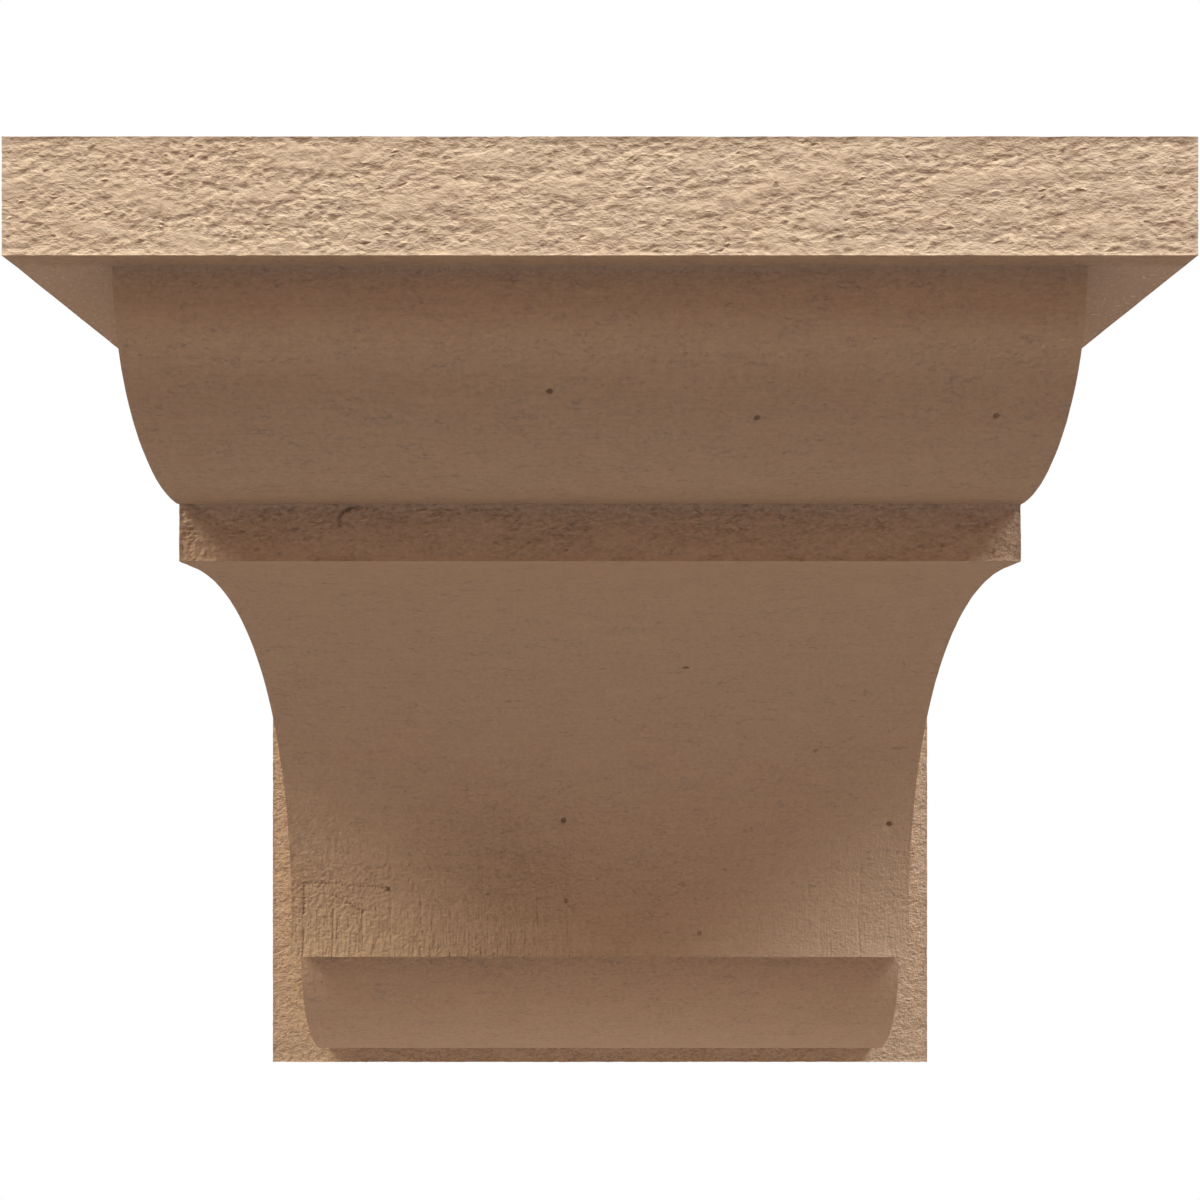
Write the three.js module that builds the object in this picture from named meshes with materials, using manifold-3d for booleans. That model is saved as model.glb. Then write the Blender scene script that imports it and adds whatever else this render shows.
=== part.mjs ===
// Corbel moulded in one piece to look like rough-sawn timber: a square cap slab, a back plate of
// the same width under it, and a narrower bracket body between the two.
// Millimetres, +Z up. The origin is the centre of the back face, which meets the wall.
// The corbel reaches out from the wall towards -Y, and is symmetric about X = 0.

import * as THREE from "three";
import { mergeVertices } from "three/addons/utils/BufferGeometryUtils.js";
import Module from "manifold-3d";

// Widths along X
const overallWidth = 304.8;
const sideReveal = 25.4;

// Heights of the members, from the top down
const capThickness = 30.5;
const upperOvoloHeight = 52.7;
const filletHeight = 17.1;
const coveHeight = 143.4;
const lowerOvoloHeight = 53.0;
const plateMargin = 8.1;

// Depths of the members, from the wall outwards
const plateThickness = 30.5;
const lowerOvoloProjection = 53.0;
const lipOverhang = 18.3;
const coveDepth = 126.7;
const ledgeDepth = 15.5;
const upperOvoloProjection = 53.4;
const capNosing = 7.4;

// Fineness of the arcs, as the turn of one step along them
const arcStep = THREE.MathUtils.degToRad(2.5);

// Distance from the wall of each vertical line of the profile
const plateFront = plateThickness;
const lowerOvoloFront = plateFront + lowerOvoloProjection;
const lipFront = lowerOvoloFront + lipOverhang;
const coveTopFront = lipFront + coveDepth;
const filletFront = coveTopFront + ledgeDepth;
const upperOvoloFront = filletFront + upperOvoloProjection;
const capFront = upperOvoloFront + capNosing;

// Drop below the top of each horizontal line of the profile
const soffit = capThickness;
const filletTop = soffit + upperOvoloHeight;
const ledge = filletTop + filletHeight;
const lip = ledge + coveHeight;
const bodyFoot = lip + lowerOvoloHeight;
const overallHeight = bodyFoot + plateMargin;

const bodyWidth = overallWidth - 2 * sideReveal;

// The profile is drawn with the distance from the wall across and the height above the middle up
const heightAt = (drop) => overallHeight / 2 - drop;

// Appends an elliptical arc from one angle to another, in steps of at most arcStep
function addArc(points, across, up, radiusAcross, radiusUp, from, to) {
  const steps = Math.ceil(Math.abs(to - from) / arcStep);
  const curve = new THREE.EllipseCurve(across, up, radiusAcross, radiusUp, from, to, to < from);
  points.push(...curve.getPoints(steps));
}

// Cap slab and back plate, an L standing against the wall
function capAndPlateOutline() {
  return [
    new THREE.Vector2(0, heightAt(overallHeight)),
    new THREE.Vector2(plateFront, heightAt(overallHeight)),
    new THREE.Vector2(plateFront, heightAt(soffit)),
    new THREE.Vector2(capFront, heightAt(soffit)),
    new THREE.Vector2(capFront, heightAt(0)),
    new THREE.Vector2(0, heightAt(0)),
  ];
}

// Bracket body, rooted half-way into the plate and the cap. From the foot up it has a quarter round
// that dies into the plate, the underside of the lip, a cove, a flat ledge, a fillet and a quarter
// round under the cap. The cove leaves the ledge level and passes through the edge of the lip.
function bodyOutline() {
  const points = [
    new THREE.Vector2(plateFront / 2, heightAt(soffit / 2)),
    new THREE.Vector2(plateFront / 2, heightAt(bodyFoot)),
  ];
  addArc(points, plateFront, heightAt(lip), lowerOvoloProjection, lowerOvoloHeight, -Math.PI / 2, 0);
  const coveRadius = (coveDepth ** 2 + coveHeight ** 2) / (2 * coveHeight);
  const coveCentre = heightAt(ledge) - coveRadius;
  const lipAngle = Math.PI + Math.atan2(coveCentre - heightAt(lip), coveDepth);
  addArc(points, coveTopFront, coveCentre, coveRadius, coveRadius, lipAngle, Math.PI / 2);
  points.push(new THREE.Vector2(filletFront, heightAt(ledge)));
  addArc(
    points, filletFront, heightAt(soffit), upperOvoloProjection, upperOvoloHeight, -Math.PI / 2, 0,
  );
  points.push(new THREE.Vector2(upperOvoloFront, heightAt(soffit / 2)));
  return points;
}

// Runs a profile along X, centred, with the distance from the wall laid along -Y
function alongX(outline, width) {
  const geometry = new THREE.ExtrudeGeometry(new THREE.Shape(outline), {
    depth: width,
    bevelEnabled: false,
  });
  geometry.translate(0, 0, -width / 2);
  const across = new THREE.Vector3(0, -1, 0);
  const up = new THREE.Vector3(0, 0, 1);
  const run = new THREE.Vector3(-1, 0, 0);
  geometry.applyMatrix4(new THREE.Matrix4().makeBasis(across, up, run));
  return geometry;
}

const wasm = await Module();
wasm.setup();

function toSolid(geometry) {
  const bare = geometry.clone();
  bare.deleteAttribute("normal");
  bare.deleteAttribute("uv");
  const merged = mergeVertices(bare, 1e-4);
  return new wasm.Manifold(new wasm.Mesh({
    numProp: 3,
    vertProperties: new Float32Array(merged.attributes.position.array),
    triVerts: new Uint32Array(merged.index.array),
  }));
}

function toGeometry(solid) {
  const mesh = solid.getMesh();
  const geometry = new THREE.BufferGeometry();
  geometry.setAttribute("position", new THREE.BufferAttribute(mesh.vertProperties, mesh.numProp));
  geometry.setIndex(new THREE.BufferAttribute(mesh.triVerts, 1));
  geometry.computeVertexNormals();
  return geometry;
}

const capAndPlate = toSolid(alongX(capAndPlateOutline(), overallWidth));
const body = toSolid(alongX(bodyOutline(), bodyWidth));

const primedFauxTimber = new THREE.MeshStandardMaterial({
  color: 0xc9a884,
  roughness: 0.85,
  metalness: 0.0,
});

const corbel = new THREE.Mesh(toGeometry(capAndPlate.add(body)), primedFauxTimber);
corbel.name = "corbel";

const part = new THREE.Group();
part.name = "moulded corbel";
part.add(corbel);

export default part;
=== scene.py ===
"""Corbel moulded in one piece to look like rough-sawn timber, primed tan, in a plain studio."""

import math

import bpy
import numpy as np
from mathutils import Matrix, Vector
from mathutils.geometry import delaunay_2d_cdt


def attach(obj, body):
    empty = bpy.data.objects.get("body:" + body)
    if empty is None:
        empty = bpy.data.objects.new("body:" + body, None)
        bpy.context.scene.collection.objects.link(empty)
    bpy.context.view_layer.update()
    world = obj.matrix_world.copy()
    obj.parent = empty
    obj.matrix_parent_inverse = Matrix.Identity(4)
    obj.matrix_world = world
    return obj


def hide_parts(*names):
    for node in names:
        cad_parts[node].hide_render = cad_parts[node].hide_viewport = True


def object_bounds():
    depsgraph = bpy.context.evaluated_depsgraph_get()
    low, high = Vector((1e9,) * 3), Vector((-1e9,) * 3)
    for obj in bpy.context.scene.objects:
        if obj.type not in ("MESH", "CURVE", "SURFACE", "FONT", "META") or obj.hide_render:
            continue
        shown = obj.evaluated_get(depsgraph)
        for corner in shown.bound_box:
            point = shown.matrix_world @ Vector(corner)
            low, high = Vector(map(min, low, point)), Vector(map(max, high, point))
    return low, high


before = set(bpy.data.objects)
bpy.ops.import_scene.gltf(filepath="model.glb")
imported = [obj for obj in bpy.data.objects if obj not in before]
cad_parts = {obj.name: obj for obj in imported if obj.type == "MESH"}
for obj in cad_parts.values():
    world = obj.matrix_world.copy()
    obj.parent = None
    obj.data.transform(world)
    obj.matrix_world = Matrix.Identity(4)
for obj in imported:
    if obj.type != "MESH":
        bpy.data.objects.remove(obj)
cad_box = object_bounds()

MM = 0.001

# Sizes of the corbel in millimetres, as the solid has them
WIDTH = 304.8
SIDE_REVEAL = 25.4
CAP_THICKNESS = 30.5
UPPER_OVOLO_HEIGHT = 52.7
FILLET_HEIGHT = 17.1
COVE_HEIGHT = 143.4
LOWER_OVOLO_HEIGHT = 53.0
PLATE_MARGIN = 8.1
PLATE_THICKNESS = 30.5
LOWER_OVOLO_PROJECTION = 53.0
LIP_OVERHANG = 18.3
COVE_DEPTH = 126.7
LEDGE_DEPTH = 15.5
UPPER_OVOLO_PROJECTION = 53.4
CAP_NOSING = 7.4

# Distances from the wall
LOWER_OVOLO_FRONT = PLATE_THICKNESS + LOWER_OVOLO_PROJECTION
LIP_FRONT = LOWER_OVOLO_FRONT + LIP_OVERHANG
COVE_TOP_FRONT = LIP_FRONT + COVE_DEPTH
FILLET_FRONT = COVE_TOP_FRONT + LEDGE_DEPTH
UPPER_OVOLO_FRONT = FILLET_FRONT + UPPER_OVOLO_PROJECTION
CAP_FRONT = UPPER_OVOLO_FRONT + CAP_NOSING

# Heights above the middle
FOOT = -0.5 * (
    CAP_THICKNESS + UPPER_OVOLO_HEIGHT + FILLET_HEIGHT + COVE_HEIGHT + LOWER_OVOLO_HEIGHT + PLATE_MARGIN
)
BODY_FOOT = FOOT + PLATE_MARGIN
LIP = BODY_FOOT + LOWER_OVOLO_HEIGHT
LEDGE = LIP + COVE_HEIGHT
FILLET_TOP = LEDGE + FILLET_HEIGHT
SOFFIT = FILLET_TOP + UPPER_OVOLO_HEIGHT
TOP = SOFFIT + CAP_THICKNESS

HALF_WIDTH = WIDTH / 2
HALF_BODY = HALF_WIDTH - SIDE_REVEAL

# Spacing of the points that carry the relief, before the flat stretches are thinned. The fine
# spacing is for the air holes, the ring and the scores
COARSE = 1.0
STEP_ALONG = 0.8 * COARSE
STEP_FRONT = 0.36 * COARSE
STEP_BODY = 0.7 * COARSE
STEP_PLATE = 0.7 * COARSE
STEP_HIDDEN = 1.6 * COARSE
STEP_FINE = 0.3 * COARSE
MOST_TRIANGLES = 196000

# Distances in millimetres within which a point counts as on a line, and as on a face
ON_LINE = 0.01
ON_FACE = 0.1

# Steps in a metre to which the points are rounded when they are welded
WELD_SCALE = 1e7

# An edge sharper than the first angle is an arris, and one sharper than the second is shaded sharp
ARRIS_ANGLE = math.radians(40)
SHARP_ANGLE = math.radians(50)

# Ways that a face looks
FORWARD, BACKWARD = (0, -1, 0), (0, 1, 0)
UPWARD, DOWNWARD = (0, 0, 1), (0, 0, -1)

# Finish of each kind of face: how deep the mesh carries the torn grain, how deep its bump carries
# it, and with it the grain's painted shade and highlight, how far the surface swells, how strong the
# saw lines are, how pebbly it is, how dusty, how stained, which also carries painted shade under
# overhangs, and whether its grain runs towards the wall instead of along X
FINISH_PARTS = ("grain", "fine_grain", "swell", "saw", "pebble", "dust", "stain_and_shade", "to_wall")
ROUGH = (1.0, 1.05, 0.4, 0.0, 0.25, 0.0, 0.0, 0.0)
FILLET = (1.3, 1.0, 0.4, 0.1, 1.9, 0.0, 0.7, 0.0)
PLATE = (0.9, 1.7, 0.4, 0.1, 2.5, 0.1, 0.2, 0.0)
MOULDED = (0.2, 0.5, 0.4, 0.7, 1.2, 0.0, 0.3, 0.0)
SOFFIT_FACE = (0.15, 0.6, 0.3, 0.1, 2.1, 1.0, 0.3, 0.0)
NOSING = (0.1, 0.5, 0.3, 0.1, 1.2, 0.0, 0.4, 0.0)
SIDE = (0.0, 1.0, 0.8, 0.6, 1.2, 0.1, 0.3, 1.0)
BEARING = (0.0, 0.9, 0.4, 0.5, 1.0, 0.1, 0.3, 0.0)
WALL = (0.0, 0.3, 0.0, 0.2, 0.6, 0.1, 0.3, 0.0)

# The cove is rougher towards the corners of its foot, by a share that changes along X, and shows
# more of the saw just above the lip
ROUGH_FOOT_TOP = -8.0
ROUGH_FOOT_FADE = 50.0
ROUGH_FOOT_X = (-HALF_BODY, -80.0, -42.0, 0.0, 45.0, HALF_BODY)
ROUGH_FOOT_SHARE = (0.9, 1.1, 2.3, 0.4, 0.15, 0.25)
ROUGH_FOOT_MORE = (0.0, 0.6, 0.0, 0.0, 1.2, 0.0, 0.0, 0.0)
SAWN_FOOT_TOP = -66.0
SAWN_FOOT_FADE = 10.0
SAWN_FOOT_MORE = (0.0, 0.0, 0.0, 2.2, -0.5, 0.0, 0.0, 0.0)

# Each quarter round is dimpled close under what overhangs it and darkened there with painted
# shade through its stain part, and the fillet less so
UNDER_REACH = 11.0
UNDER_DIMPLES_AND_SHADE = (0.0, 1.2, 0.0, 0.0, 1.0, 0.0, 2.5, 0.0)
UNDER_FILLET_SHARE = 0.4

# Air holes of the casting: X, distance from the wall and height of the middle, half the width and
# half the height of the mouth, and the depth as a share of the deepest
AIR_HOLES = (
    (-13.4, 287.6, 91.8, 0.8, 0.8, 0.75),
    (42.6, 282.9, 85.8, 0.85, 0.7, 0.6),
    (107.4, 283.3, 86.2, 0.8, 0.8, 0.65),
    (32.1, 149.6, 24.7, 1.2, 0.5, 1.0),
    (85.3, 121.3, -6.2, 0.9, 0.7, 0.45),
    (-14.8, 107.4, -35.0, 1.1, 1.1, 0.9),
    (117.5, 107.0, -36.4, 1.1, 1.1, 0.8),
    (-14.0, 101.3, -68.3, 0.8, 1.1, 0.6),
    (40.7, 101.3, -81.6, 1.0, 1.1, 0.5),
    (-87.0, 101.4, -63.7, 0.9, 0.9, 0.8),
)
AIR_HOLE_REACH = 1.6

# Form of an air hole, in shares of its mouth: where its wall begins and how wide the wall is, where
# its middle begins to rise again and over what width, and how much of its depth the middle loses
HOLE_EDGE, HOLE_WALL = 1.2, 0.45
HOLE_MIDDLE, HOLE_MIDDLE_FADE, HOLE_MIDDLE_RISE = 0.5, 0.3, 0.4

# A knot's open ring pressed into the fillet, as X, distance and height of its middle, and the angles
# it runs between, anticlockwise from the right. It weakens away from where it is deepest, and fades
# at both ends and near the fillet's top
RING_MIDDLE = (-72.8, 244.0, 64.8)
RING_HALF_WIDTH, RING_HALF_HEIGHT = 5.9, 3.9
RING_FROM, RING_TO = math.radians(48), math.radians(222)
RING_DEEPEST = math.radians(142)
RING_WEAKENING = 0.5
RING_END_FADE = 0.5
RING_TOP_FADE = 0.6
RING_WIDTH = 1.0
RING_EDGE = 1.4
RING_SHARE = 0.8
RING_REACH = 6.6

# Beaded scores by the foot of the cove, as the X and height of their ends. The beads drift along
# them, so that no two are quite alike
SCORES = (
    (-121.6, -60.9, -121.6, -74.0), (-121.6, -60.9, -105.6, -60.9),
    (-105.6, -61.7, -86.3, -62.9), (-108.1, -66.6, -97.0, -73.2),
)
SCORE_FRONT = 101.0
SCORE_CLEARANCE = 3.0
SCORE_WIDTH = 1.1
SCORE_EDGE = 1.3
SCORE_SHARE = 0.42
BEAD_PITCH = 1.5
BEAD_MEAN, BEAD_SWING = 0.62, 0.38
BEAD_DRIFT, BEAD_DRIFT_TURN = 1.3, 0.9

# Spots that need closer points, each with its reach
DETAILS = [(hole[:3], AIR_HOLE_REACH) for hole in AIR_HOLES] + [(RING_MIDDLE, RING_REACH)] + [
    (((ax + bx) / 2, SCORE_FRONT, (az + bz) / 2), max(abs(bx - ax), abs(bz - az)) / 2 + SCORE_WIDTH)
    for ax, az, bx, bz in SCORES
]

# Depths of the relief, and how far from an arris it reaches its full unevenness, in millimetres
RELIEF = {
    "Grain Depth": 0.44,
    "Crease Depth": 0.16,
    "Swell Depth": 0.28,
    "Pebble Depth": 0.24,
    "Saw Depth": 0.1,
    "Pit Depth": 1.0,
    "Arris Margin": 1.3,
}

# Share of its unevenness that the relief keeps at an arris itself, and the share of its mean depth
# that it would keep with no unevenness left
ARRIS_UNEVENNESS = 0.15
EVEN_DEPTH = 0.4

# Depth of each mark in the bump of the material, in millimetres, where its finish is 1
TORN_BUMP = 0.16
PEBBLE_BUMP = 0.2
SAW_BUMP = 0.08
PORE_BUMP = 0.04

# Sizes of the patterns in millimetres, along the grain and across it
RIDGES, BROAD_RIDGES, CALM_PATCHES = (1.6, 0.88), (4.6, 1.9), (16.0, 6.0)
STRANDS, CREASED_PATCHES = (7.0, 2.0), (14.0, 6.0)
SWELLS = (24.0, 9.0)
PEBBLES = (1.35, 1.3)
SAW_MARKS, SAW_DRIFT, SAWN_PATCHES = (0.8, 7.0), (9.0, 14.0), (22.0, 16.0)
TIDES, MOTTLES, STAINED_PATCHES = (26.0, 15.0), (2.0, 1.2), (9.0, 3.5)
GRAIN_LINES, GRAIN_DASHES = (26.0, 0.6), (1.7, 0.5)
SPECKS, PORES = (0.75, 1.9), (0.5, 0.4)

# Share that the broad ridges add to the short ones, and what a calm patch leaves of both
BROAD_SHARE = 0.18
CALM_SHARE = 0.6

# Upright scores of the saw: their pitch, how far they wander as a share of it, X of the left one,
# and their depth beside the fine saw lines
SAW_PITCH = 12.0
SAW_WANDER = 0.12
SAW_LEFT = -121.6
SAW_SCORE_DEPTH = 1.3

# Shifts the patterns of the relief as a whole. Each pattern adds a shift of its own to it
SEED = 3.0

# Colours of the primer where it lies even, where it is redder or greyer, and in torn grain. The dark
# grain colour is also painted shade in creases, depths and under overhangs, the pale fibre colour
# also a painted highlight, and the hole colour painted shade in the pits
PRIMER = {
    "Primer": (0.62, 0.467, 0.318),
    "Redder Primer": (0.63, 0.463, 0.32),
    "Greyer Primer": (0.48, 0.375, 0.31),
    "Pale Fibre And Highlight": (0.72, 0.542, 0.38),
    "Dust": (0.88, 0.72, 0.56),
    "White Speck": (1.0, 0.9, 0.77),
    "Dark Grain And Shade": (0.33, 0.23, 0.15),
    "Hole Shade": (0.14, 0.095, 0.065),
}
SPECULAR = 0.3

# How strongly each mark shows in the colour. The first four make up the dark marks, of which the
# crease share and the stain share near overhangs are painted shade; the torn share is painted shade
# in the grain's depths, the fibre share a painted highlight, and the pit share painted shade in holes
STAIN_AND_SHADE_SHARE, LINE_SHARE, DASH_SHARE, CREASE_SHADE_SHARE = 0.55, 0.17, 1.2, 0.6
DARK_AND_SHADE_SHARE = 0.6
CLOUD_SHARE = 0.45
TORN_SHADE_SHARE, FIBRE_HIGHLIGHT_SHARE = 0.19, 0.65
MOTTLE_CONTRAST, MOTTLE_PALENESS = 1.4, 0.08
DUST_SHARE = 0.5
PIT_SHADE_SHARE = 0.75

# Share of the whitish specks that shows outside the stained patches
LONE_SPECKS = 0.4

# Camera at the photograph's place, in the photograph's pixels: its size, the row of the horizon,
# the focal length, and the width of the slab's front
PHOTO_SIZE = 1200
PHOTO_HORIZON = 734.8
PHOTO_FOCAL = 1303
PHOTO_FRONT_WIDTH = 1198.2
SENSOR_WIDTH = 36

# Softboxes: azimuth and elevation in degrees as seen from the corbel's middle, 0 being the front
# and level, width in metres, power in watts, and colour
SOFTBOX_DISTANCE = 1.8
SOFTBOXES = {
    "left softbox": (-60, 51, 1.1, 25.2, (1.0, 0.94, 0.78)),
    "right softbox": (60, 56, 1.1, 29.5, (0.91, 0.96, 1.0)),
    "top softbox": (0, 68, 0.8, 22.0, (0.7, 0.89, 1.0)),
}

# Light from around, from straight down, 0, to straight up, 1, with 0.5 at the horizon
SKY = (
    (0.0, (0.0, 0.0, 0.0)),
    (0.22, (0.0, 0.0, 0.0)),
    (0.28, (0.38, 0.35, 0.39)),
    (0.48, (0.38, 0.35, 0.39)),
    (0.52, (0.364, 0.205, 0.101)),
    (1.0, (0.364, 0.205, 0.101)),
)

# The floor is only seen. The light on the undersides comes off a warm card that lies just under it.
# These sizes, and the scrim's, are in metres
FLOOR_REACH, FLOOR_COLOUR = 1.35, (0.86, 0.85, 0.83)
CARD_REACH, CARD_COLOUR = 0.62, (0.6, 0.51, 0.455)
CARD_HEIGHT = -0.75
CARD_GAP = 1.0 * MM

# A scrim over the top of the slab keeps it from burning out in the views from above
SCRIM_GAP = 0.2 * MM
SCRIM_SHADE = 0.55


# Form of the corbel

def spaced(start, end, step):
    """Values from start to end, about a step apart."""
    return np.linspace(start, end, max(2, round(abs(end - start) / step) + 1))


def joined(*runs):
    """Runs of values end to end, with the shared ends kept once."""
    return np.concatenate([runs[0]] + [run[1:] for run in runs[1:]])


def finer(values, spots, step):
    """Rising values, with closer ones put in around spots, each given with its reach."""
    kept, extra = values.copy(), []
    for spot, reach in spots:
        kept = kept[(abs(kept - spot) > reach + step / 2) | (kept == values[0]) | (kept == values[-1])]
        extra.append(np.arange(math.ceil((spot - reach) / step), math.floor((spot + reach) / step) + 1))
    if extra:
        extra = np.unique(np.concatenate(extra)) * step
        extra = extra[(extra > values[0] + step / 2) & (extra < values[-1] - step / 2)]
        kept = np.sort(np.concatenate([kept, extra]))
    return kept


def level(out, height):
    """Points of a level line, as (distance from the wall, height)."""
    return np.column_stack([out, np.full_like(out, height)])


def upright(out, up):
    """Points of an upright line, as (distance from the wall, height)."""
    return np.column_stack([np.full_like(up, out), up])


def arc(centre, radii, start, end, step):
    """Part of an ellipse, with closer points where an air hole lies on it."""
    size = max(radii)
    turn = spaced(start, end, step / size)
    near = []
    for (_, out, up), reach in DETAILS:
        across, rise = (out - centre[0]) / radii[0], (up - centre[1]) / radii[1]
        if abs(math.hypot(across, rise) - 1) < 1 / size:
            at = math.atan2(rise, across)
            near += [(at + lap, reach / size) for lap in (0, 2 * math.pi)]
    lowest, highest = min(start, end), max(start, end)
    near = [(at, reach) for at, reach in near if lowest < at < highest]
    turn = finer(np.sort(turn), near, STEP_FINE / size)
    if end < start:
        turn = turn[::-1]
    return np.column_stack([
        centre[0] + radii[0] * np.cos(turn),
        centre[1] + radii[1] * np.sin(turn),
    ])


def body_profile():
    """Front of the body from its foot to the soffit, as (distance from the wall, height)."""
    cove_radius = (COVE_DEPTH ** 2 + COVE_HEIGHT ** 2) / (2 * COVE_HEIGHT)
    cove_centre = LEDGE - cove_radius
    lip_turn = math.pi + math.atan2(cove_centre - LIP, COVE_DEPTH)
    on_fillet = [(up, reach) for (_, out, up), reach in DETAILS if abs(out - FILLET_FRONT) < ON_FACE]
    fillet_up = finer(spaced(LEDGE, FILLET_TOP, STEP_BODY), on_fillet, STEP_FINE)
    return joined(
        arc((PLATE_THICKNESS, LIP), (LOWER_OVOLO_PROJECTION, LOWER_OVOLO_HEIGHT),
            -math.pi / 2, 0, STEP_BODY),
        level(spaced(LOWER_OVOLO_FRONT, LIP_FRONT, STEP_HIDDEN), LIP),
        arc((COVE_TOP_FRONT, cove_centre), (cove_radius, cove_radius),
            lip_turn, math.pi / 2, STEP_BODY),
        level(spaced(COVE_TOP_FRONT, FILLET_FRONT, STEP_BODY), LEDGE),
        upright(FILLET_FRONT, fillet_up),
        arc((FILLET_FRONT, SOFFIT), (UPPER_OVOLO_PROJECTION, UPPER_OVOLO_HEIGHT),
            -math.pi / 2, 0, STEP_BODY),
    )


def body_finish(profile, columns):
    """Finish of each point of the body's front, which is the profile run along the columns."""
    out, up = profile[:, 0], profile[:, 1]
    on_fillet = (out == FILLET_FRONT) & (up < FILLET_TOP + ON_LINE)
    finish = np.where(on_fillet[:, None], FILLET, MOULDED)
    above_lip = up > LIP - ON_LINE
    wide = np.interp(columns, ROUGH_FOOT_X, ROUGH_FOOT_SHARE)
    low = np.clip((ROUGH_FOOT_TOP - up) / ROUGH_FOOT_FADE, 0, 1) * above_lip
    sawn = np.clip((SAWN_FOOT_TOP - up) / SAWN_FOOT_FADE, 0, 1) * above_lip
    # Close under an overhang the faces get deeper dimples and painted shade
    under = np.clip(1 - (SOFFIT - up) / UNDER_REACH, 0, 1)
    under += np.clip(1 - (LIP - up) / UNDER_REACH, 0, 1) * (up < LIP) * (out < LIP_FRONT)
    under += np.clip(1 - (FILLET_TOP - up) / UNDER_REACH, 0, 1) * on_fillet * UNDER_FILLET_SHARE
    more = (low[:, None] * wide)[..., None] * ROUGH_FOOT_MORE
    more = more + (sawn[:, None] * wide)[..., None] * SAWN_FOOT_MORE
    finish = finish[:, None] * (1 + more + under[:, None, None] * UNDER_DIMPLES_AND_SHADE)
    return finish.reshape(-1, len(FINISH_PARTS))


def inside(outline, spots):
    """True for each spot that lies inside a closed outline."""
    x, y = spots[:, 0], spots[:, 1]
    within = np.zeros(len(spots), bool)
    for (ax, ay), (bx, by) in zip(outline, np.roll(outline, -1, axis=0)):
        if ay != by:
            crosses = ((ay > y) != (by > y)) & (x < (bx - ax) * (y - ay) / (by - ay) + ax)
            within ^= crosses
    return within


def cheek_points(outline, profile, out, up):
    """Points on every second and third line over a cheek, clear of the close ones on its front."""
    across, rise = np.meshgrid(out[1:-1:2], up[1:-1:3])
    spots = np.column_stack([across.ravel(), rise.ravel()])
    spots = spots[inside(outline, spots)]
    clear = np.ones(len(spots), bool)
    for front, height in profile:
        clear &= np.hypot(spots[:, 0] - front, spots[:, 1] - height) > STEP_HIDDEN
    return spots[clear]


# Pits, as shares of the full pit depth at points in millimetres

def hole_share(points, hole):
    x, out, up, half_width, half_height, depth = hole
    away = points - (x, -out, up)
    gap = np.hypot(away[:, 0] / half_width, np.hypot(away[:, 1], away[:, 2]) / half_height)
    wall = np.clip((HOLE_EDGE - gap) / HOLE_WALL, 0, 1)
    return depth * wall * (1 - HOLE_MIDDLE_RISE * np.clip((HOLE_MIDDLE - gap) / HOLE_MIDDLE_FADE, 0, 1))


def ring_share(points):
    away = points - (RING_MIDDLE[0], -RING_MIDDLE[1], RING_MIDDLE[2])
    across, rise = away[:, 0] / RING_HALF_WIDTH, away[:, 2] / RING_HALF_HEIGHT
    turn = np.arctan2(rise, across) % (2 * math.pi)
    off = abs(np.hypot(across, rise) - 1) * RING_HALF_HEIGHT / (RING_WIDTH / 2)
    fade = np.clip(np.minimum(turn - RING_FROM, RING_TO - turn) / RING_END_FADE, 0, 1)
    fade *= 1 - RING_WEAKENING * np.clip(abs(turn - RING_DEEPEST), 0, 1)
    below_top = np.clip((FILLET_TOP - points[:, 2]) / RING_TOP_FADE, 0, 1)
    on_fillet = (abs(away[:, 1]) < ON_FACE) * below_top
    return RING_SHARE * fade * on_fillet * np.clip(RING_EDGE - off, 0, 1)


def score_share(points, score):
    ax, az, bx, bz = score
    run = np.array((bx - ax, bz - az))
    length = np.hypot(*run)
    away = points[:, [0, 2]] - (ax, az)
    along = np.clip(away @ run / length, 0, length)
    off = np.linalg.norm(away - along[:, None] * run / length, axis=1) / (SCORE_WIDTH / 2)
    drift = BEAD_DRIFT * np.sin(along * BEAD_DRIFT_TURN)
    bead = np.cos(along * 2 * math.pi / BEAD_PITCH + drift)
    on_front = abs(-points[:, 1] - SCORE_FRONT) < SCORE_CLEARANCE
    on_front &= abs(points[:, 0]) < HALF_BODY - ON_FACE
    return SCORE_SHARE * on_front * (BEAD_MEAN + BEAD_SWING * bead) * np.clip(SCORE_EDGE - off, 0, 1)


def pit_share(points):
    """The deepest of all pits at each point."""
    share = ring_share(points)
    for hole in AIR_HOLES:
        share = np.maximum(share, hole_share(points, hole))
    for score in SCORES:
        share = np.maximum(share, score_share(points, score))
    return share


# Skin

def quads(down, across):
    """Corners of the four-sided faces of a grid of points."""
    number = np.arange(down * across).reshape(down, across)
    corners = [number[:-1, :-1], number[:-1, 1:], number[1:, 1:], number[1:, :-1]]
    return np.stack(corners, axis=-1).reshape(-1, 4)


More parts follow.
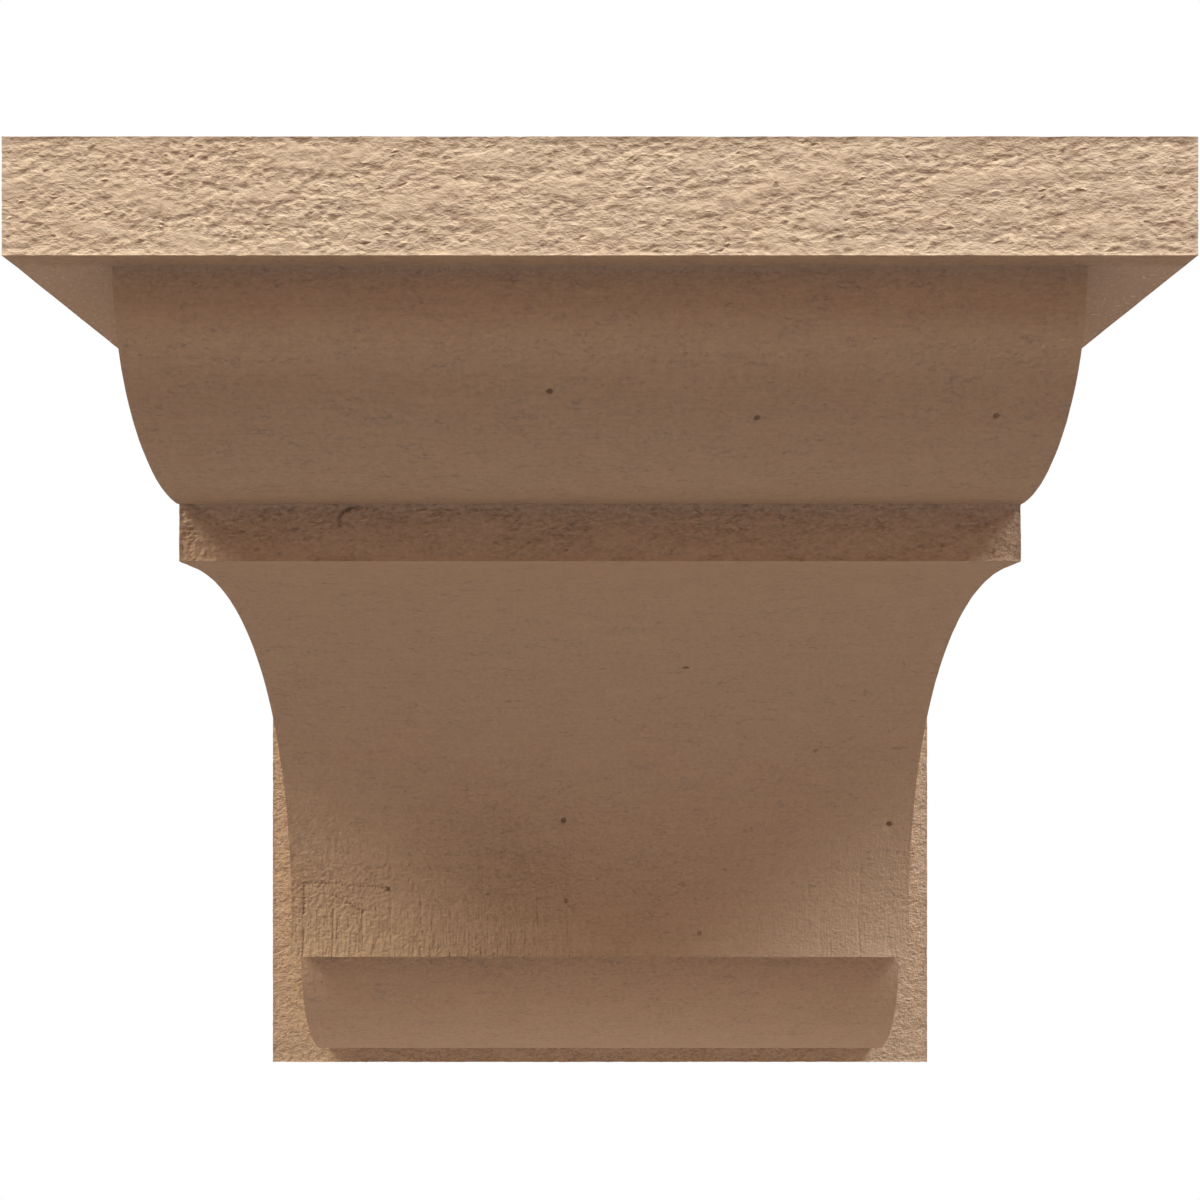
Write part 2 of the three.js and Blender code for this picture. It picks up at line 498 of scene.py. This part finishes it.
class Skin:
    """Collects the patches of a closed skin and joins them where they share points."""

    def __init__(self):
        self.points = []
        self.faces = []
        self.finish = []
        self.count = 0

    def add(self, points, faces, outward, finish):
        """Takes points (n, 3), faces (m, 3 or 4) turned to face outward, and a finish."""
        corners = points[faces[:, :3]]
        normals = np.cross(corners[:, 1] - corners[:, 0], corners[:, 2] - corners[:, 0])
        if normals.sum(0) @ np.array(outward, float) < 0:
            faces = faces[:, ::-1]
        if faces.shape[1] == 4:
            faces = np.concatenate([faces[:, [0, 1, 2]], faces[:, [0, 2, 3]]])
        self.points.append(points)
        self.faces.append(faces + self.count)
        self.finish.append(np.broadcast_to(finish, (len(points), len(FINISH_PARTS))))
        self.count += len(points)

    def grid(self, rows, columns, outward, finish):
        """A patch run along X: rows are (distance from the wall, height), columns are X."""
        points = np.empty((len(rows), len(columns), 3))
        points[:, :, 0] = columns
        points[:, :, 1] = -rows[:, None, 0]
        points[:, :, 2] = rows[:, None, 1]
        self.add(points.reshape(-1, 3), quads(len(rows), len(columns)), outward, finish)

    def flank(self, x, out, up, finish):
        """A flat patch at one X, over distances from the wall and heights."""
        points = np.array([(x, -distance, height) for height in up for distance in out])
        self.add(points, quads(len(up), len(out)), (x, 0, 0), finish)

    def cheek(self, x, outline, inner, finish):
        """A flat patch at one X, inside an outline of (distance from the wall, height)."""
        flat = np.concatenate([outline, inner])
        loop = [list(range(len(outline)))]
        inside_only, nearness = 1, 1e-6
        found = delaunay_2d_cdt([Vector(p) for p in flat], [], loop, inside_only, nearness)
        triangles, origins = found[2], found[3]
        # The places found are rounded, so the ones that went in are kept, and weld
        at = flat[[same[0] for same in origins]]
        points = np.column_stack([np.full(len(at), x), -at[:, 0], at[:, 1]])
        self.add(points, np.array(triangles), (x, 0, 0), finish)

    def mesh(self, name):
        """The joined skin, with its finish and its pits as attributes of its points."""
        points = np.concatenate(self.points) * MM
        faces = np.concatenate(self.faces)
        rounded = np.round(points * WELD_SCALE).astype(np.int64)
        _, first, same = np.unique(rounded, axis=0, return_index=True, return_inverse=True)
        faces = same.reshape(-1)[faces]
        made = bpy.data.meshes.new(name)
        made.vertices.add(len(first))
        made.vertices.foreach_set("co", points[first].astype(np.float32).ravel())
        made.loops.add(faces.size)
        made.loops.foreach_set("vertex_index", faces.astype(np.int32).ravel())
        made.polygons.add(len(faces))
        made.polygons.foreach_set("loop_start", np.arange(0, faces.size, 3, dtype=np.int32))
        made.update(calc_edges=True)
        made.validate()
        carried = dict(zip(FINISH_PARTS, np.concatenate(self.finish)[first].T))
        carried["pit"] = pit_share(points[first] / MM)
        for part, values in carried.items():
            kept = made.attributes.new(part, "FLOAT", "POINT")
            kept.data.foreach_set("value", values.astype(np.float32))
        return made


def corbel_skin():
    """The whole outer skin of the corbel, with its arrises sharp."""
    reveal = spaced(HALF_BODY, HALF_WIDTH, STEP_ALONG)
    details = [(x, reach) for (x, _, _), reach in DETAILS]
    body_columns = finer(spaced(-HALF_BODY, HALF_BODY, STEP_ALONG), details, STEP_FINE)
    columns = joined(-reveal[::-1], body_columns, reveal)
    plate_out = spaced(0, PLATE_THICKNESS, STEP_HIDDEN)
    bay_out = spaced(PLATE_THICKNESS, UPPER_OVOLO_FRONT, STEP_HIDDEN)
    nosing_out = spaced(UPPER_OVOLO_FRONT, CAP_FRONT, STEP_HIDDEN)
    margin_up = spaced(FOOT, BODY_FOOT, STEP_PLATE)
    bay_up = spaced(BODY_FOOT, SOFFIT, STEP_PLATE)
    cap_up = spaced(SOFFIT, TOP, STEP_FRONT)
    full_out = joined(plate_out, bay_out, nosing_out)
    full_up = joined(margin_up, bay_up, cap_up)
    profile = body_profile()

    skin = Skin()
    skin.grid(upright(CAP_FRONT, cap_up), columns, FORWARD, ROUGH)
    skin.grid(upright(PLATE_THICKNESS, margin_up), columns, FORWARD, PLATE)
    skin.grid(upright(0, full_up), columns, BACKWARD, WALL)
    skin.grid(level(full_out, TOP), columns, UPWARD, BEARING)
    skin.grid(level(plate_out, FOOT), columns, DOWNWARD, SIDE)
    skin.grid(level(nosing_out, SOFFIT), columns, DOWNWARD, NOSING)
    skin.grid(profile, body_columns, (0, -1, -1), body_finish(profile, body_columns))
    outline = np.concatenate([
        profile,
        level(bay_out, SOFFIT)[-2:0:-1],
        upright(PLATE_THICKNESS, bay_up)[:0:-1],
    ])
    inner = cheek_points(outline, profile, bay_out, bay_up)
    for side in (-1, 1):
        skin.grid(level(bay_out, SOFFIT), side * reveal, DOWNWARD, SOFFIT_FACE)
        skin.grid(upright(PLATE_THICKNESS, bay_up), side * reveal, FORWARD, PLATE)
        skin.cheek(side * HALF_BODY, outline, inner, SIDE)
        skin.flank(side * HALF_WIDTH, full_out, cap_up, SIDE)
        skin.flank(side * HALF_WIDTH, plate_out, joined(margin_up, bay_up), SIDE)
    return skin.mesh("corbel_relief")


# Patterns, which the relief and the material share

class Net:
    """Makes the same noise and arithmetic nodes in a geometry tree and in a shader tree."""

    def __init__(self, tree):
        self.tree = tree

    def new(self, kind, **settings):
        node = self.tree.nodes.new(kind)
        for name, value in settings.items():
            setattr(node, name, value)
        return node

    def feed(self, socket, value):
        """Links a socket's value or sets a plain one. None leaves the socket as it is."""
        if isinstance(value, bpy.types.NodeSocket):
            self.tree.links.new(value, socket)
        elif value is not None:
            socket.default_value = value

    def math(self, operation, *values, clamp=False):
        node = self.new("ShaderNodeMath", operation=operation, use_clamp=clamp)
        for socket, value in zip(node.inputs, values):
            self.feed(socket, value)
        return node.outputs[0]

    def vector(self, operation, *values, scale=None):
        node = self.new("ShaderNodeVectorMath", operation=operation)
        for socket, value in zip(node.inputs, values):
            self.feed(socket, value)
        if scale is not None:
            self.feed(node.inputs["Scale"], scale)
        return node.outputs["Value" if operation == "DOT_PRODUCT" else "Vector"]

    def mix(self, share, under, over, kind="Color"):
        """Two colours mixed by a share, or two vectors where the kind is Vector."""
        node = self.new("ShaderNodeMix", data_type="RGBA" if kind == "Color" else "VECTOR")
        sockets = {socket.identifier: socket for socket in node.inputs}
        for name, value in (("Factor_Float", share), ("A_" + kind, under), ("B_" + kind, over)):
            self.feed(sockets[name], value)
        return next(socket for socket in node.outputs if socket.identifier == "Result_" + kind)

    def ramp(self, value, low, high, smooth=False, base=0.0):
        """Base at low and 1 at high, which may be the smaller."""
        node = self.new("ShaderNodeMapRange", interpolation_type="SMOOTHSTEP" if smooth else "LINEAR")
        for name, given in (("Value", value), ("From Min", low), ("From Max", high), ("To Min", base)):
            self.feed(node.inputs[name], given)
        return node.outputs[0]

    def noise(self, place, size, detail=0.0, roughness=0.5, distortion=0.0, shift=0.0):
        """Noise over a place in millimetres, with its size along X and across X in millimetres."""
        along, across = size
        put = self.vector("MULTIPLY_ADD", place, (1 / along, 1 / across, 1 / across), (shift,) * 3)
        node = self.new("ShaderNodeTexNoise")
        self.feed(node.inputs["Vector"], put)
        for name, given in (
            ("Scale", 1.0), ("Detail", detail), ("Roughness", roughness), ("Distortion", distortion)
        ):
            self.feed(node.inputs[name], given)
        return node.outputs[0]


def torn_grain(net, place):
    """Depth from 0 to 1 of the short torn ridges that run along X."""
    bumps = net.noise(place, RIDGES, 2.0, 0.49, 0.2, shift=SEED)
    broad = net.noise(place, BROAD_RIDGES, shift=SEED + 5.0)
    both = net.math("MULTIPLY_ADD", broad, BROAD_SHARE, bumps)
    torn = net.ramp(net.noise(place, CALM_PATCHES, shift=SEED + 11.0), 0.28, 0.48, True)
    depth = net.ramp(both, 0.37, 0.78)
    return net.math("MULTIPLY", depth, net.math("MULTIPLY_ADD", torn, 1 - CALM_SHARE, CALM_SHARE))


def long_creases(net, place):
    """Depth from 0 to 1 of the longer creases between strands, which come and go."""
    strands = net.noise(place, STRANDS, 2.0, 0.6, 0.4, shift=SEED + 23.0)
    crease = net.ramp(net.math("ABSOLUTE", net.math("SUBTRACT", strands, 0.5)), 0.05, 0.0)
    where = net.ramp(net.noise(place, CREASED_PATCHES, 1.0, shift=SEED + 31.0), 0.5, 0.62, True)
    return net.math("MULTIPLY", crease, where)


def swelling(net, place):
    """Depth from 0 to 1 of the slow unevenness of every face."""
    return net.ramp(net.noise(place, SWELLS, 2.0, 0.5, shift=SEED + 47.0), 0.3, 0.7)


def pebbles(net, place):
    """Depth from 0 to 1 of the dents between the fine pebbles that the mould leaves."""
    return net.ramp(net.noise(place, PEBBLES, 2.0, 0.7, shift=SEED + 53.0), 0.25, 0.75)


def saw_lines(net, place):
    """Depth of the upright lines that the saw leaves across the grain, fine ones and scores."""
    fine = net.ramp(net.noise(place, SAW_MARKS, shift=SEED + 59.0), 0.35, 0.7)
    along = net.vector("DOT_PRODUCT", place, (1 / SAW_PITCH, 0.0, 0.0))
    # A score stands at each whole number. Twenty pitches more keep the numbers above 0
    along = net.math("ADD", along, 20 - SAW_LEFT / SAW_PITCH - SAW_WANDER / 2)
    drift = net.noise(place, SAW_DRIFT, shift=SEED + 61.0)
    between = net.math("FRACT", net.math("MULTIPLY_ADD", drift, SAW_WANDER, along))
    score = net.ramp(net.math("ABSOLUTE", net.math("SUBTRACT", between, 0.5)), 0.44, 0.49)
    where = net.ramp(net.noise(place, SAWN_PATCHES, shift=SEED + 67.0), 0.36, 0.5, True)
    return net.math("MULTIPLY_ADD", net.math("MULTIPLY", score, where), SAW_SCORE_DEPTH, fine)


# Relief

def carried(net, name):
    """A value that each point of the skin carries."""
    node = net.new("GeometryNodeInputNamedAttribute", data_type="FLOAT")
    node.inputs["Name"].default_value = name
    return node.outputs["Attribute"]


def stored(net, flow, name, value, data_type):
    """The geometry that flows in, with a value stored on its points."""
    keep = net.new("GeometryNodeStoreNamedAttribute", data_type=data_type, domain="POINT")
    keep.inputs["Name"].default_value = name
    net.feed(keep.inputs["Geometry"], flow)
    net.feed(keep.inputs["Value"], value)
    return keep.outputs["Geometry"]


def arris_distance(net, flow):
    """Distance in metres from each point to the nearest arris."""
    arrises = net.new("GeometryNodeDeleteGeometry", domain="EDGE", mode="EDGE_FACE")
    net.feed(arrises.inputs["Geometry"], flow)
    flatter = net.new("FunctionNodeCompare", operation="LESS_THAN")
    net.feed(flatter.inputs[0], net.new("GeometryNodeInputMeshEdgeAngle").outputs["Unsigned Angle"])
    flatter.inputs[1].default_value = ARRIS_ANGLE
    net.feed(arrises.inputs["Selection"], flatter.outputs[0])
    nearest = net.new("GeometryNodeProximity", target_element="EDGES")
    net.feed(nearest.inputs[0], arrises.outputs[0])
    return nearest.outputs["Distance"]


def mean_normal(net):
    """Mean of the normals of the faces around each point, which is short at an arris."""
    facing = net.new("GeometryNodeFieldOnDomain", domain="FACE", data_type="FLOAT_VECTOR")
    net.feed(facing.inputs[0], net.new("GeometryNodeInputNormal").outputs[0])
    mean = net.new("GeometryNodeFieldOnDomain", domain="POINT", data_type="FLOAT_VECTOR")
    net.feed(mean.inputs[0], facing.outputs[0])
    return mean.outputs[0]


def relief_tree(material):
    """Presses the relief into a skin, with little of its unevenness left along the arrises."""
    tree = bpy.data.node_groups.new("sawn relief", "GeometryNodeTree")
    tree.is_modifier = True
    face = tree.interface
    face.new_socket("Geometry", in_out="INPUT", socket_type="NodeSocketGeometry")
    face.new_socket("Geometry", in_out="OUTPUT", socket_type="NodeSocketGeometry")
    for name, value in RELIEF.items():
        socket = face.new_socket(name, in_out="INPUT", socket_type="NodeSocketFloat")
        socket.default_value = value
    net = Net(tree)
    given = net.new("NodeGroupInput").outputs
    place = net.vector("SCALE", net.new("GeometryNodeInputPosition").outputs[0], scale=1 / MM)
    clear = net.math("DIVIDE", arris_distance(net, given["Geometry"]), given["Arris Margin"])
    rise = net.ramp(clear, 0.0, MM, True, base=ARRIS_UNEVENNESS)
    held = net.math("MULTIPLY_ADD", rise, 1 - EVEN_DEPTH, EVEN_DEPTH)

    def uneven(pattern, mean, depth):
        """Depth of a pattern with a mean share, even and shallow along the arrises."""
        from_mean = net.math("SUBTRACT", pattern(net, place), mean)
        share = net.math("MULTIPLY_ADD", from_mean, rise, net.math("MULTIPLY", held, mean))
        return net.math("MULTIPLY", share, given[depth])

    creased = net.math("MULTIPLY", long_creases(net, place), carried(net, "grain"))
    depth = net.math("MULTIPLY", uneven(torn_grain, 0.35, "Grain Depth"), carried(net, "grain"))
    depth = net.math("MULTIPLY_ADD", net.math("MULTIPLY", creased, given["Crease Depth"]), rise, depth)
    for pattern, mean, full_depth, part in (
        (swelling, 0.5, "Swell Depth", "swell"),
        (pebbles, 0.5, "Pebble Depth", "pebble"),
        (saw_lines, 0.3, "Saw Depth", "saw"),
    ):
        depth = net.math("MULTIPLY_ADD", uneven(pattern, mean, full_depth), carried(net, part), depth)
    depth = net.math("MULTIPLY_ADD", carried(net, "pit"), given["Pit Depth"], depth)
    depth = net.math("MULTIPLY", depth, -MM)

    kept = stored(net, given["Geometry"], "place", place, "FLOAT_VECTOR")
    kept = stored(net, kept, "crease", creased, "FLOAT")
    push = net.new("GeometryNodeSetPosition")
    net.feed(push.inputs["Geometry"], kept)
    normal = mean_normal(net)
    length_squared = net.vector("DOT_PRODUCT", normal, normal)
    offset = net.vector("SCALE", normal, scale=net.math("DIVIDE", depth, length_squared))
    net.feed(push.inputs["Offset"], offset)
    whole = net.new("GeometryNodeRealizeInstances")
    net.feed(whole.inputs[0], push.outputs[0])
    finish = net.new("GeometryNodeSetMaterial")
    finish.inputs["Material"].default_value = material
    net.feed(finish.inputs["Geometry"], whole.outputs[0])
    net.feed(net.new("NodeGroupOutput").inputs[0], finish.outputs[0])
    return tree


def thin_out(base, skin):
    """Thins a skin to its most triangles where it is nearly flat, with the pits left whole."""
    pits = np.empty(len(skin.vertices), np.float32)
    skin.attributes["pit"].data.foreach_get("value", pits)
    thinned = base.vertex_groups.new(name="thinned")
    thinned.add(np.flatnonzero(pits == 0).tolist(), 1.0, "REPLACE")
    thin = base.modifiers.new("thin", "DECIMATE")
    thin.vertex_group = "thinned"
    thin.ratio = MOST_TRIANGLES / len(skin.polygons)
    thin.use_collapse_triangulate = True


def pressed(skin, material):
    """The skin with its relief, as a plain mesh inside the solid's box."""
    base = bpy.data.objects.new("skin", skin)
    bpy.context.scene.collection.objects.link(base)
    relief = base.modifiers.new("relief", "NODES")
    relief.node_group = relief_tree(material)
    sockets = {item.name: item.identifier for item in relief.node_group.interface.items_tree
               if item.in_out == "INPUT"}
    for name, value in RELIEF.items():
        relief[sockets[name]] = value
    if len(skin.polygons) > MOST_TRIANGLES:
        thin_out(base, skin)
    evaluated = base.evaluated_get(bpy.context.evaluated_depsgraph_get())
    made = bpy.data.meshes.new_from_object(evaluated)
    bpy.data.objects.remove(base)
    bpy.data.meshes.remove(skin)
    made.name = "corbel_relief"
    at = np.empty(len(made.vertices) * 3, np.float32)
    made.vertices.foreach_get("co", at)
    at = np.clip(at.reshape(-1, 3), *(np.array(corner, np.float32) for corner in cad_box))
    made.vertices.foreach_set("co", at.ravel())
    made.update()
    made.shade_smooth()
    made.set_sharp_from_angle(angle=SHARP_ANGLE)
    return made


# Primer

def grain_place(net, given):
    """Where a pattern is read: X and Y change places where the grain runs towards the wall."""
    parts = net.new("ShaderNodeSeparateXYZ")
    net.feed(parts.inputs[0], given["Place"])
    swapped = net.new("ShaderNodeCombineXYZ")
    for socket, axis in zip(swapped.inputs, ("Y", "X", "Z")):
        net.feed(socket, parts.outputs[axis])
    turned = net.math("GREATER_THAN", given["To Wall"], 0.5)
    return net.mix(turned, given["Place"], swapped.outputs[0], "Vector")


def primer_colour(net, given, place, depth, tide):
    """Colour of the primer over torn grain of a depth, with its tide, stains and dust, and painted
    shade and highlight in the grain, the creases, the pits and under overhangs.
    """
    colour = net.mix(tide, given["Primer"], given["Redder Primer"])
    mottle = net.noise(place, MOTTLES, 2.0, 0.75, shift=83.0)
    group = net.ramp(net.noise(place, STAINED_PATCHES, 1.0, 0.6, shift=89.0), 0.56, 0.68, True)
    cloud = net.math("MULTIPLY", group, net.ramp(mottle, 0.35, 0.6))
    colour = net.mix(net.math("MULTIPLY", cloud, CLOUD_SHARE), colour, given["Greyer Primer"])

    # Dark marks: stains, long lines and short dashes, with painted shade in the creases and, through
    # the stain part, under overhangs
    line = net.ramp(net.noise(place, GRAIN_LINES, shift=93.0), 0.5, 0.7)
    dash = net.ramp(net.noise(place, GRAIN_DASHES, shift=97.0), 0.8, 0.85)
    dark_and_shade = net.math("MULTIPLY", net.ramp(mottle, 0.54, 0.74), net.math("ADD", group, given["Stain And Shade"]))
    dark_and_shade = net.math("MULTIPLY", dark_and_shade, STAIN_AND_SHADE_SHARE)
    dark_and_shade = net.math("MULTIPLY_ADD", line, LINE_SHARE, dark_and_shade)
    dark_and_shade = net.math("MULTIPLY_ADD", dash, DASH_SHARE, dark_and_shade)
    dark_and_shade = net.math("MULTIPLY_ADD", given["Crease"], CREASE_SHADE_SHARE, dark_and_shade, clamp=True)
    colour = net.mix(net.math("MULTIPLY", dark_and_shade, DARK_AND_SHADE_SHARE), colour, given["Dark Grain And Shade"])

    # Torn grain gets painted shade in its depths and a painted highlight on its fibres, which the
    # mottle makes paler or darker at random
    torn = net.math("MULTIPLY", depth, given["Grain"])
    colour = net.mix(net.math("MULTIPLY", torn, TORN_SHADE_SHARE), colour, given["Dark Grain And Shade"])
    pale_and_highlight = net.math("MULTIPLY", net.math("SUBTRACT", 1.0, depth), given["Grain"])
    pale = net.math("SUBTRACT", 0.5, mottle)
    pale = net.math("MULTIPLY_ADD", pale, MOTTLE_CONTRAST, MOTTLE_PALENESS)
    pale_and_highlight = net.math("MULTIPLY_ADD", pale_and_highlight, FIBRE_HIGHLIGHT_SHARE, pale, clamp=True)
    colour = net.mix(pale_and_highlight, colour, given["Pale Fibre And Highlight"])

    # Dust, with its whitish specks, and painted shade in the pits
    colour = net.mix(net.math("MULTIPLY", given["Dust Cover"], DUST_SHARE), colour, given["Dust"])
    speck = net.ramp(net.noise(place, SPECKS, shift=107.0), 0.65, 0.69)
    clustered = net.math("MULTIPLY_ADD", group, 1 - LONE_SPECKS, LONE_SPECKS)
    speck = net.math("MULTIPLY", net.math("MULTIPLY", speck, clustered), given["Dust Cover"])
    colour = net.mix(speck, colour, given["White Speck"])
    pit = net.math("MULTIPLY", given["Pit"], PIT_SHADE_SHARE, clamp=True)
    return net.mix(pit, colour, given["Hole Shade"])


def primer_height(net, given, place, depth):
    """Height in millimetres of what is too fine for the mesh."""
    height = net.math("MULTIPLY", net.math("MULTIPLY", depth, given["Grain"]), -TORN_BUMP)
    pebble = net.math("MULTIPLY", pebbles(net, place), given["Pebble"])
    height = net.math("MULTIPLY_ADD", pebble, -PEBBLE_BUMP, height)
    saw = net.math("MULTIPLY", saw_lines(net, place), given["Saw"])
    height = net.math("MULTIPLY_ADD", saw, -SAW_BUMP, height)
    return net.math("MULTIPLY_ADD", net.noise(place, PORES, shift=101.0), PORE_BUMP, height)


def sawn_face_group():
    """Colour, roughness and fine height of the primed sawn face, over a place in millimetres, its
    colour with painted shade and highlight.
    """
    tree = bpy.data.node_groups.new("primed sawn face", "ShaderNodeTree")
    face = tree.interface
    face.new_socket("Place", in_out="INPUT", socket_type="NodeSocketVector")
    for name in ("Grain", "Pebble", "Saw", "Pit", "Crease", "Dust Cover", "Stain And Shade", "To Wall"):
        face.new_socket(name, in_out="INPUT", socket_type="NodeSocketFloat")
    for name, colour in PRIMER.items():
        socket = face.new_socket(name, in_out="INPUT", socket_type="NodeSocketColor")
        socket.default_value = (*colour, 1)
    face.new_socket("Color", in_out="OUTPUT", socket_type="NodeSocketColor")
    face.new_socket("Roughness", in_out="OUTPUT", socket_type="NodeSocketFloat")
    face.new_socket("Height", in_out="OUTPUT", socket_type="NodeSocketFloat")
    net = Net(tree)
    given = net.new("NodeGroupInput").outputs
    place = grain_place(net, given)
    depth = torn_grain(net, place)
    tide = net.ramp(net.noise(place, TIDES, 2.0, 0.6, shift=71.0), 0.4, 0.6)
    # From about 0.75 to 0.94 as the tide rises from 0 to 1
    roughness = net.ramp(tide, -4.0, 1.3)
    out = net.new("NodeGroupOutput")
    net.feed(out.inputs["Color"], primer_colour(net, given, place, depth, tide))
    net.feed(out.inputs["Roughness"], roughness)
    net.feed(out.inputs["Height"], primer_height(net, given, place, depth))
    return tree


def primed_timber():
    """The material: the primed sawn face, fed with what the mesh carries."""
    made = bpy.data.materials.new("primed faux timber")
    made.use_nodes = True
    nodes, links = made.node_tree.nodes, made.node_tree.links
    shader = nodes["Principled BSDF"]
    shader.inputs["Specular IOR Level"].default_value = SPECULAR
    face = nodes.new("ShaderNodeGroup")
    face.node_tree = sawn_face_group()
    for name, attribute, output in (
        ("Place", "place", "Vector"), ("Grain", "fine_grain", "Fac"), ("Pebble", "pebble", "Fac"),
        ("Saw", "saw", "Fac"), ("Pit", "pit", "Fac"), ("Crease", "crease", "Fac"),
        ("Dust Cover", "dust", "Fac"), ("Stain And Shade", "stain_and_shade", "Fac"), ("To Wall", "to_wall", "Fac"),
    ):
        node = nodes.new("ShaderNodeAttribute")
        node.attribute_name = attribute
        links.new(node.outputs[output], face.inputs[name])
    links.new(face.outputs["Color"], shader.inputs["Base Color"])
    links.new(face.outputs["Roughness"], shader.inputs["Roughness"])
    bump = nodes.new("ShaderNodeBump")
    bump.inputs["Strength"].default_value = 1.0
    bump.inputs["Distance"].default_value = MM
    links.new(face.outputs["Height"], bump.inputs["Height"])
    links.new(bump.outputs["Normal"], shader.inputs["Normal"])
    return made


# Camera and studio

def photo_camera():
    """Level and square on, as high as the middle of the corbel, with the photograph's frame."""
    data = bpy.data.cameras.new("camera")
    data.sensor_width = SENSOR_WIDTH
    data.lens = SENSOR_WIDTH * PHOTO_FOCAL / PHOTO_SIZE
    data.shift_y = (PHOTO_HORIZON - PHOTO_SIZE / 2) / PHOTO_SIZE
    camera = bpy.data.objects.new("camera", data)
    camera.location = (0, -(CAP_FRONT + PHOTO_FOCAL * WIDTH / PHOTO_FRONT_WIDTH) * MM, 0)
    camera.rotation_euler = (math.pi / 2, 0, 0)
    bpy.context.scene.collection.objects.link(camera)
    bpy.context.scene.camera = camera


def softbox(name, azimuth, elevation, width, power, colour):
    """A round area light turned to the corbel's middle."""
    data = bpy.data.lights.new(name, "AREA")
    data.shape = "DISK"
    data.size = width
    data.energy = power
    data.color = colour
    light = bpy.data.objects.new(name, data)
    middle = Vector((0, -CAP_FRONT / 2 * MM, 0))
    a, e = math.radians(azimuth), math.radians(elevation)
    away = Vector((math.sin(a) * math.cos(e), -math.cos(a) * math.cos(e), math.sin(e)))
    light.location = middle + away * SOFTBOX_DISTANCE
    light.rotation_mode = "QUATERNION"
    light.rotation_quaternion = away.to_track_quat("Z", "Y")
    bpy.context.scene.collection.objects.link(light)


def surroundings():
    """Soft light from all around, which the camera sees as plain white."""
    world = bpy.data.worlds.new("studio")
    world.use_nodes = True
    bpy.context.scene.world = world
    nodes, links = world.node_tree.nodes, world.node_tree.links
    height = nodes.new("ShaderNodeSeparateXYZ")
    links.new(nodes.new("ShaderNodeTexCoord").outputs["Generated"], height.inputs[0])
    from_below = nodes.new("ShaderNodeMath")
    from_below.operation = "MULTIPLY_ADD"
    from_below.inputs[1].default_value = 0.5
    from_below.inputs[2].default_value = 0.5
    links.new(height.outputs["Z"], from_below.inputs[0])
    glow = nodes.new("ShaderNodeValToRGB")
    links.new(from_below.outputs[0], glow.inputs[0])
    stops = glow.color_ramp.elements
    stops[0].position, stops[1].position = SKY[0][0], SKY[-1][0]
    for position, _ in SKY[1:-1]:
        stops.new(position)
    for stop, (_, colour) in zip(stops, SKY):
        stop.color = (*colour, 1)
    ambient = nodes["Background"]
    links.new(glow.outputs[0], ambient.inputs["Color"])
    seen = nodes.new("ShaderNodeBackground")
    seen.inputs["Color"].default_value = (1, 1, 1, 1)
    mix = nodes.new("ShaderNodeMixShader")
    links.new(nodes.new("ShaderNodeLightPath").outputs["Is Camera Ray"], mix.inputs[0])
    links.new(ambient.outputs[0], mix.inputs[1])
    links.new(seen.outputs[0], mix.inputs[2])
    links.new(mix.outputs[0], nodes["World Output"].inputs["Surface"])


def sheet(name, lowest, highest, height):
    """A level sheet between two (X, Y) corners in metres, and its material's node tree."""
    mesh = bpy.data.meshes.new(name)
    (x0, y0), (x1, y1) = lowest, highest
    corners = [(x0, y0, height), (x1, y0, height), (x1, y1, height), (x0, y1, height)]
    mesh.from_pydata(corners, [], [(0, 1, 2, 3)])
    made = bpy.data.objects.new(name, mesh)
    bpy.context.scene.collection.objects.link(made)
    material = bpy.data.materials.new(name)
    material.use_nodes = True
    mesh.materials.append(material)
    return made, material.node_tree


def matt_square(name, reach, height, colour):
    """A matt square sheet centred under the corbel's back face."""
    made, tree = sheet(name, (-reach, -reach), (reach, reach), height)
    shader = tree.nodes["Principled BSDF"]
    shader.inputs["Base Color"].default_value = (*colour, 1)
    shader.inputs["Roughness"].default_value = 0.9
    return made


def floor_and_card():
    floor = matt_square("floor", FLOOR_REACH, CARD_HEIGHT + CARD_GAP, FLOOR_COLOUR)
    floor.visible_diffuse = False
    floor.visible_glossy = False
    floor.visible_shadow = False
    card = matt_square("bounce card", CARD_REACH, CARD_HEIGHT, CARD_COLOUR)
    card.visible_camera = False


def scrim_over_slab():
    half = HALF_WIDTH * MM
    scrim, tree = sheet("scrim", (-half, -CAP_FRONT * MM), (half, 0), TOP * MM + SCRIM_GAP)
    gauze = tree.nodes.new("ShaderNodeBsdfTransparent")
    gauze.inputs["Color"].default_value = (SCRIM_SHADE, SCRIM_SHADE, SCRIM_SHADE, 1)
    tree.links.new(gauze.outputs[0], tree.nodes["Material Output"].inputs["Surface"])
    scrim.visible_camera = False


photo_camera()

corbel = bpy.data.objects.new("corbel_relief", pressed(corbel_skin(), primed_timber()))
bpy.context.scene.collection.objects.link(corbel)
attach(corbel, "root")
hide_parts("corbel")

for name, setting in SOFTBOXES.items():
    softbox(name, *setting)
surroundings()
floor_and_card()
scrim_over_slab()
bpy.context.scene.view_settings.view_transform = "Standard"
